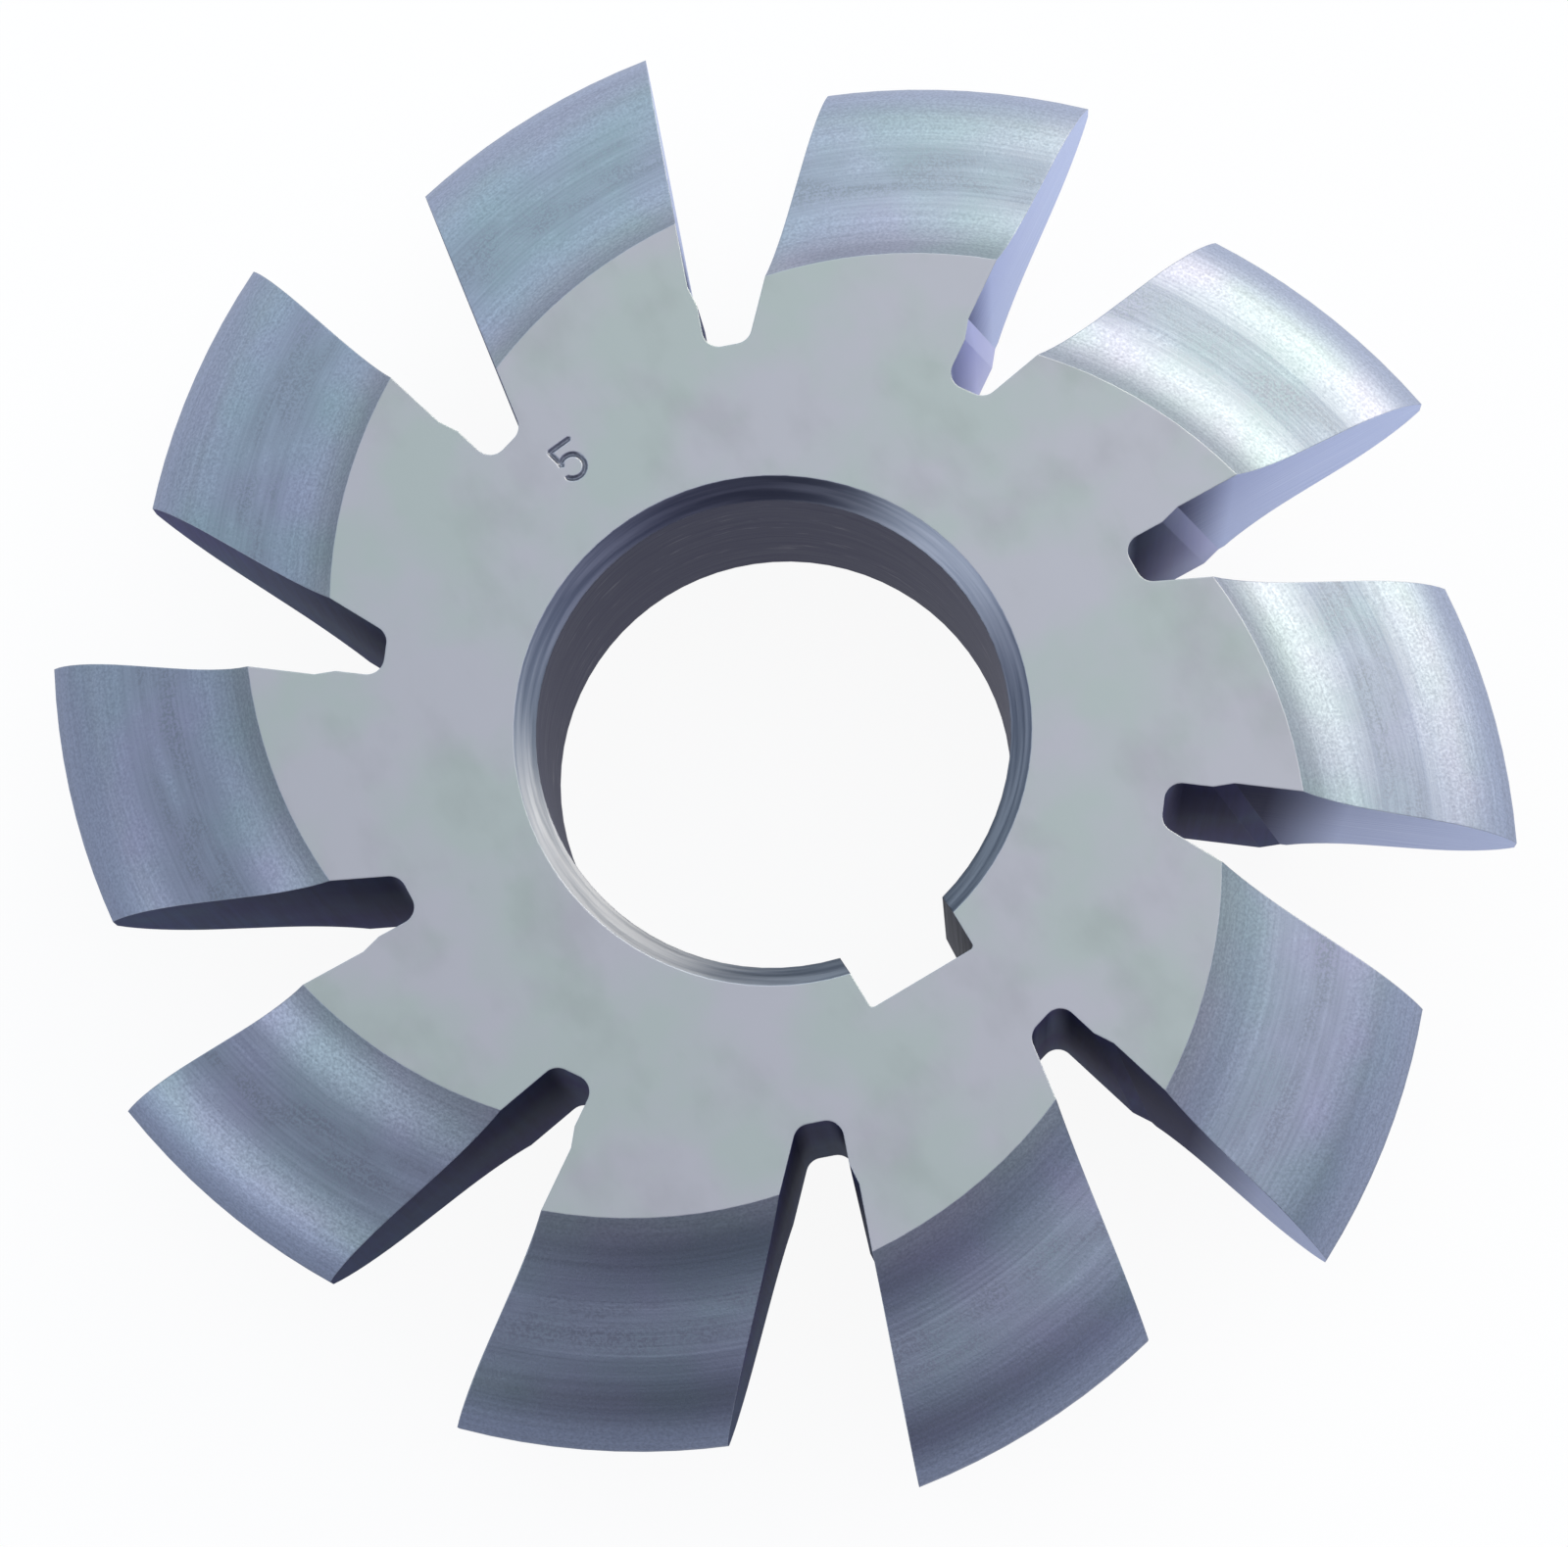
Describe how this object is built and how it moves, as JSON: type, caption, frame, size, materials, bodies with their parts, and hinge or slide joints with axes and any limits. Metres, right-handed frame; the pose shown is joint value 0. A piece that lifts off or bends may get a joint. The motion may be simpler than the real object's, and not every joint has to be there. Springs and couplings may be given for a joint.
{
  "type": "disc milling cutter",
  "caption": "Form-relieved disc milling cutter for gear teeth: a flat hub with a keyed bore, ringed by teeth whose curved flanks widen into the hub.",
  "frame": {"origin": "centre of the bore on the lower hub face, the face that the cutter lies on", "axes": "+Z along the bore axis, up through the upper hub face; -Y through the middle of the keyway; seen from +Z the cutter turns clockwise"},
  "size_m": [0.101, 0.097, 0.0222],
  "materials": {
    "tool_steel": "Hardened high-speed steel: surface-ground hub faces, form-relieved flanks with a fine grain across the relief, bright ground bore."
  },
  "bodies": {
    "root": {"milling_cutter": "tool_steel"}
  },
  "joints": []
}
